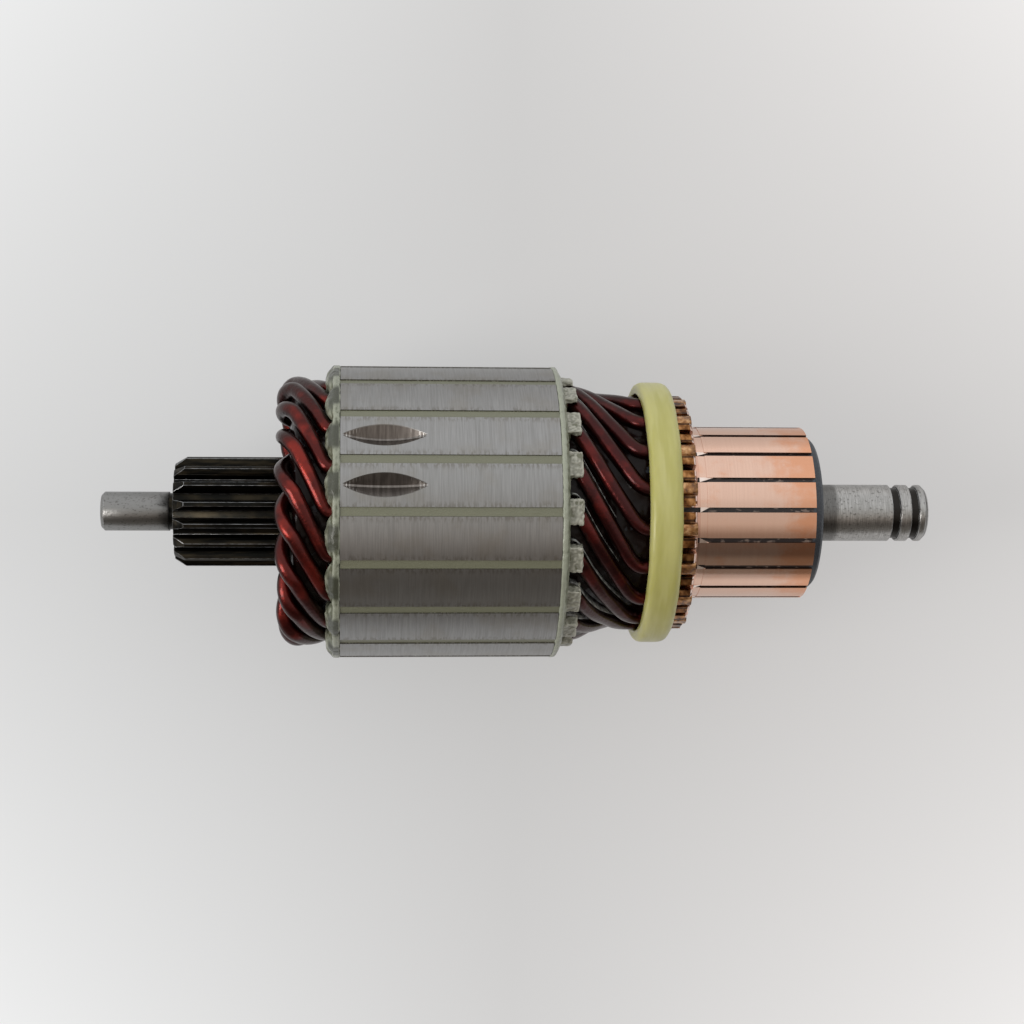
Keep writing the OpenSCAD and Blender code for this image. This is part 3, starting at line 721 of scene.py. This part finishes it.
def copper_finish():
    """Turned copper bars: pale pink, with heat tints towards the free end, brown and black at the risers,
    painted shadow in the gaps between risers, and a painted highlight along the ragged edge of each riser
    face.
    """
    s = Shader("commutator_copper", metallic=1.0, roughness=0.16)
    x, angle, radius = s.round_place()
    track = TRACK_R / MM
    arc = s.math("MULTIPLY", angle, track)
    turned = s.noise(s.vector(x, s.math("MULTIPLY", arc, 0.01), 0.0), 4.0, 2.0)
    bar = s.math("FLOOR", s.math("DIVIDE", s.math("SUBTRACT", angle, SEGMENT_ANGLE - PITCH / 2), PITCH))
    bar_level = s.noise(s.vector(s.math("MULTIPLY", bar, 3.7), 0.0, 0.0), 1.0, 0.0)
    tint = s.noise(s.vector(s.math("MULTIPLY", x, 0.13), s.math("MULTIPLY", arc, 0.16), 4.0), 1.0, 5.0, 0.6)
    end = COPPER_END / MM
    along = s.step(x, end - 16.0, end - 1.0)
    level = s.math("ADD", s.math("MULTIPLY", tint, 0.5), s.math("MULTIPLY", bar_level, 0.5))
    heat = s.step(s.math("ADD", level, s.math("MULTIPLY", along, 0.16)), 0.55, 0.72)
    copper = s.mix(s.step(turned, 0.3, 0.7), (0.735, 0.49, 0.385), (0.765, 0.52, 0.41))
    copper = s.mix(s.math("MULTIPLY", heat, 0.8), copper, (0.72, 0.33, 0.18))
    band = s.step(x, RISER_FACE / MM + 1.95, RISER_FACE / MM + 1.85)
    copper = s.mix(s.math("MULTIPLY", band, 0.35), copper, (0.55, 0.27, 0.19))
    sides = s.step(radius, track - 0.25, track - 0.55)
    copper = s.mix(sides, copper, (0.10, 0.045, 0.03))
    blot = s.noise(s.vector(x, arc, radius), 0.55, 4.0)
    black, brown, gold = (0.05, 0.018, 0.008), (0.22, 0.092, 0.03), (0.50, 0.25, 0.10)
    varnished = s.ramp(blot, (0.36, black), (0.5, brown), (0.66, gold))
    face = RISER_FACE / MM
    from_centre = s.math("PINGPONG", s.math("SUBTRACT", angle, SEGMENT_ANGLE), PITCH / 2)
    outline = s.math("MULTIPLY", s.step(from_centre, 0.066, 0.070), s.step(from_centre, 0.094, 0.084))
    gap = s.step(from_centre, 0.146, 0.156)
    shadow = s.math("MAXIMUM", s.math("MULTIPLY", outline, 0.8), gap)
    varnished = s.mix(shadow, varnished, (0.012, 0.008, 0.010))
    # painted highlight: a bright ragged band along the edge of the riser face
    ragged_highlight = s.noise(s.vector(s.math("MULTIPLY", x, 0.4), arc, radius), 0.9, 3.0)
    edge = s.math("MULTIPLY", s.step(x, face - 0.75, face - 0.5), s.step(ragged_highlight, 0.40, 0.50))
    varnished = s.mix(edge, varnished, (0.85, 0.66, 0.58))
    riser = s.step(x, face - 0.1, face - 0.25)
    s.set("Base Color", s.mix(riser, copper, varnished))
    s.set("Roughness", s.math("ADD", s.scale(turned, 0.11, 0.17), s.math("MULTIPLY", riser, 0.18)))
    lumps = s.math("MULTIPLY", s.math("MULTIPLY", blot, riser), 14.0)
    s.bump(s.math("ADD", s.math("MULTIPLY", turned, 0.15), lumps), 0.3, 0.04 * MM)
    return s.material


def slate_finish():
    """Dark slate-grey phenolic moulding."""
    s = Shader("moulding", roughness=0.45, IOR=1.5)
    place = s.vector(*s.place())
    speck = s.noise(place, 2.5, 4.0)
    slate = s.mix(s.step(speck, 0.4, 0.7), (0.036, 0.043, 0.055), (0.065, 0.076, 0.092))
    x, angle, radius = s.round_place()
    grit = s.noise(s.vector(s.math("MULTIPLY", x, 0.35), s.math("MULTIPLY", angle, 21.0), radius), 1.2, 3.0)
    fleck = s.step(grit, 0.56, 0.64)
    floor = s.mix(fleck, (0.020, 0.016, 0.017), (0.20, 0.16, 0.14))
    end = COPPER_END / MM
    in_slot = s.math("MULTIPLY", s.step(radius, 19.4, 19.6), s.step(x, end - 0.4, end - 0.8))
    s.set("Base Color", s.mix(in_slot, slate, floor))
    s.bump(speck, 0.3, 0.08 * MM)
    return s.material


def band_finish():
    """Resin-bonded glass band: pale yellow-green, with faint threads wound round it."""
    s = Shader("glass_band", roughness=0.3, IOR=1.5, Subsurface_Weight=0.3)
    s.set("Subsurface Radius", (0.8, 0.8, 0.25))
    s.set("Subsurface Scale", 2.0 * MM)
    x, angle, radius = s.round_place()
    thread = s.noise(s.vector(x, s.math("MULTIPLY", angle, 1.2), radius), 1.6, 2.0)
    cloud = s.noise(s.vector(s.math("MULTIPLY", x, 0.4), s.math("MULTIPLY", angle, 2.0), 1.0), 1.0, 2.0)
    base = s.mix(s.step(cloud, 0.35, 0.65), (0.475, 0.455, 0.145), (0.54, 0.52, 0.20))
    s.set("Base Color", s.mix(s.scale(s.step(thread, 0.5, 0.8), 0.0, 0.2), base, (0.62, 0.61, 0.33)))
    s.bump(s.math("ADD", s.math("MULTIPLY", thread, 0.5), cloud), 0.2, 0.15 * MM)
    return s.material


def sheet_and_shade_finish():
    """Insulation sheet soaked with varnish, coloured nearly black as painted shade for the gaps between the
    wires, with greyer dry patches.
    """
    s = Shader("insulation_sheet", roughness=0.3, Coat_Weight=0.4, Coat_Roughness=0.1)
    place = s.vector(*s.place())
    patch = s.noise(place, 0.22, 3.0)
    # painted shade: the sheet's near black stands in for the shade deep between the wires
    s.set("Base Color", s.mix(s.step(patch, 0.52, 0.7), (0.012, 0.009, 0.008), (0.075, 0.08, 0.085)))
    s.bump(s.noise(place, 1.2, 3.0), 0.3, 0.2 * MM)
    return s.material


def varnish_and_shade_finish():
    """Impregnating varnish pooled between the wires, nearly black as painted shade for the deep gaps between
    them, glossy, with dry blue-grey patches.
    """
    s = Shader("pooled_varnish_and_painted_shade", roughness=0.22, IOR=1.27)
    place = s.vector(*s.place())
    patch = s.noise(place, 0.33, 2.0)
    speck = s.noise(place, 2.6, 2.0)
    # painted shade: the near-black varnish stands in for the shade deep between the wires
    base = s.mix(s.step(patch, 0.64, 0.72), (0.0075, 0.0025, 0.002), (0.045, 0.05, 0.058))
    s.set("Base Color", s.mix(s.step(speck, 0.76, 0.80), base, (0.16, 0.13, 0.10)))
    s.bump(s.noise(place, 0.45, 1.0), 0.4, 0.5 * MM)
    return s.material


def burr_finish():
    """Bright torn copper."""
    s = Shader("torn_copper", metallic=1.0, roughness=0.3)
    place = s.vector(*s.place())
    s.set("Base Color", s.mix(s.noise(place, 2.0, 2.0), (0.80, 0.62, 0.53), (0.96, 0.86, 0.80)))
    return s.material


def dress_solids():
    """Gives every CAD node its finish."""
    steel = shaft_finish()
    copper = copper_finish()
    epoxy = epoxy_finish("end_epoxy", (0.30, 0.32, 0.25), (0.10, 0.11, 0.07), lobes=0.97)
    flange = epoxy_finish("flange_epoxy", (0.33, 0.355, 0.28), (0.16, 0.175, 0.125), 0.4)
    crust = epoxy_finish("wedge_crust", (0.46, 0.46, 0.39), (0.27, 0.27, 0.22), 0.5)
    wedge_tongues(crust)
    cast("drive_end_insulator", 0.42 * MM, 3, 0.22 * MM, 500, epoxy)
    cast("commutator_end_insulator", 0.42 * MM, 2, 0.12 * MM, 700, flange, 0.72)
    cast("banding_ring", 0.4 * MM, 6, 0.10 * MM, 160, band_finish())
    resin = epoxy_finish("slot_resin", (0.17, 0.175, 0.12), (0.075, 0.08, 0.05), 0.4)
    sheet = sheet_and_shade_finish()
    finishes = {
        "shaft": steel,
        "lamination_stack": lamination_finish(),
        "slot_liners": sheet,
        "slot_wedges": resin,
        "drive_end_layer_sheet": sheet,
        "commutator_end_layer_sheet": sheet,
        "commutator_hub": slate_finish(),
        "commutator_bush": steel,
    }
    for name, node in nodes.items():
        node.data.materials.clear()
        node.data.materials.append(finishes.get(name, copper))
    edge = nodes["slot_wedges"].modifiers.new("edges", "BEVEL")
    edge.width = 0.3 * MM
    edge.segments = 2
    nodes["shaft"].modifiers.new("weld", "WELD").merge_threshold = 0.001 * MM
    # painted highlight: the shaft's bevelled edges take the pale edge highlight material
    edge = nodes["shaft"].modifiers.new("edges", "BEVEL")
    edge.width = 0.09 * MM
    edge.segments = 1
    edge.angle_limit = math.radians(28)
    edge.material = 1
    nodes["shaft"].data.materials.append(edge_highlight_finish())


# ---------------------------------------------------------------- camera, floor and light


def make_camera():
    """Looks down on the armature from half a metre up, a little towards the commutator."""
    place = Vector((-24.4, 0.0, 514.5)) * MM
    target = Vector((16.8, 0.0, 0.0)) * MM
    data = bpy.data.cameras.new("camera")
    data.lens = 72.8
    data.sensor_width = 36.0
    camera = bpy.data.objects.new("camera", data)
    bpy.context.scene.collection.objects.link(camera)
    back = (place - target).normalized()
    right = Vector((0, 1, 0)).cross(back).normalized()
    up = back.cross(right)
    roll = math.radians(0.135)
    right, up = (
        math.cos(roll) * right + math.sin(roll) * up,
        math.cos(roll) * up - math.sin(roll) * right,
    )
    matrix = camera.matrix_world.copy()
    for row in range(3):
        matrix[row][0] = right[row]
        matrix[row][1] = up[row]
        matrix[row][2] = back[row]
        matrix[row][3] = place[row]
    camera.matrix_world = matrix
    bpy.context.scene.camera = camera


def make_floor():
    """A wide pale table top under the armature, with painted light: for camera and glossy rays it partly
    glows, paler towards the corners of the view, dimmer far towards -Y and a little brighter far towards +Y,
    cooler towards -X and warmer towards +X, which also weakens the shadows on it.
    """
    bpy.ops.mesh.primitive_plane_add(size=6.0, location=(0, 0, cad_box[0].z))
    floor = bpy.context.object
    floor.name = "floor"
    s = Shader("floor", (0.64, 0.64, 0.64), roughness=0.85)
    x, y, _ = s.place()
    across = s.math("MINIMUM", s.math("ABSOLUTE", s.math("DIVIDE", s.math("SUBTRACT", x, 20.0), 136.0)), 1.2)
    down = s.math("MINIMUM", s.math("ABSOLUTE", s.math("DIVIDE", y, 136.0)), 1.2)
    corner = s.math("MULTIPLY", across, down)
    edge = s.math("ADD", s.math("MULTIPLY", across, across), s.math("MULTIPLY", down, down))
    painted_light_level = s.math("ADD", s.math("MULTIPLY_ADD", corner, 0.23, 0.65), s.math("MULTIPLY", edge, 0.08))
    side = s.step(x, -100.0, 130.0)
    painted_light_level = s.math("MULTIPLY", painted_light_level, s.scale(s.step(y, -500.0, -150.0), 0.45, 1.0))
    painted_light_level = s.math("MULTIPLY", painted_light_level, s.scale(s.step(y, 150.0, 400.0), 1.0, 1.12))
    tint = s.mix(side, (0.985, 1.0, 1.01), (1.01, 0.995, 0.99))
    # painted light: the floor's glow, which camera and glossy rays see mixed in at a share of 0.6
    glow = s.node("ShaderNodeEmission", {"Color": tint, "Strength": painted_light_level})
    rays = s.node("ShaderNodeLightPath").outputs
    seen = s.math("MAXIMUM", rays["Is Camera Ray"], rays["Is Glossy Ray"])
    share = s.math("MULTIPLY", seen, 0.6)
    mixed = s.node("ShaderNodeMixShader", {0: share, 1: s.shader.outputs[0], 2: glow.outputs[0]})
    s.tree.links.new(mixed.outputs[0], s.tree.nodes["Material Output"].inputs["Surface"])
    floor.data.materials.append(s.material)


def area_light(name, place, size, power, colour=(1, 1, 1), aim=(0, 0, 0)):
    data = bpy.data.lights.new(name, "AREA")
    data.shape = "RECTANGLE"
    data.size, data.size_y = size
    data.energy = power
    data.color = colour
    light = bpy.data.objects.new(name, data)
    light.location = place
    light.rotation_euler = (Vector(aim) - Vector(place)).to_track_quat("-Z", "Y").to_euler()
    bpy.context.scene.collection.objects.link(light)


def make_room():
    """A pale tent, bright overhead and on the far side, with a dim opening on the near side."""
    world = bpy.data.worlds.new("room")
    bpy.context.scene.world = world
    world.use_nodes = True
    tree = world.node_tree
    background = tree.nodes["Background"]
    coordinates = tree.nodes.new("ShaderNodeTexCoord")
    split = tree.nodes.new("ShaderNodeSeparateXYZ")
    tree.links.new(coordinates.outputs["Generated"], split.inputs[0])
    level = tree.nodes.new("ShaderNodeMath")
    level.operation = "ARCTAN2"
    tree.links.new(split.outputs[1], level.inputs[0])
    tree.links.new(split.outputs[2], level.inputs[1])
    turn = tree.nodes.new("ShaderNodeMapRange")
    turn.inputs["From Min"].default_value = -math.pi / 2
    turn.inputs["From Max"].default_value = math.pi / 2
    tree.links.new(level.outputs[0], turn.inputs[0])
    ramp_node = tree.nodes.new("ShaderNodeValToRGB")
    tree.links.new(turn.outputs[0], ramp_node.inputs[0])
    stops = (
        (-90, (0.22, 0.20, 0.18)),
        (-66, (0.20, 0.18, 0.155)),
        (-58, (0.10, 0.09, 0.08)),
        (-42, (0.12, 0.10, 0.085)),
        (-28, (0.34, 0.285, 0.24)),
        (-15, (0.66, 0.61, 0.56)),
        (2, (0.67, 0.65, 0.62)),
        (20, (0.90, 0.90, 0.89)),
        (50, (0.98, 0.98, 0.98)),
        (90, (0.95, 0.95, 0.95)),
    )
    elements = ramp_node.color_ramp.elements
    while len(elements) < len(stops):
        elements.new(0.5)
    for element, (level, colour) in zip(elements, stops):
        element.position = 0.5 + level / 180
        element.color = (*colour, 1.0)
    tree.links.new(ramp_node.outputs[0], background.inputs["Color"])
    background.inputs["Strength"].default_value = 1.0


make_camera()
make_floor()
make_room()
area_light("side_window", (-0.55, -0.12, 0.42), (0.22, 0.5), 2.1, (1.0, 0.97, 0.94))
dress_solids()
make_winding()
pool_varnish_and_shade()
edge_ribbons()
slot_burrs()

bpy.context.scene.view_settings.view_transform = "Standard"
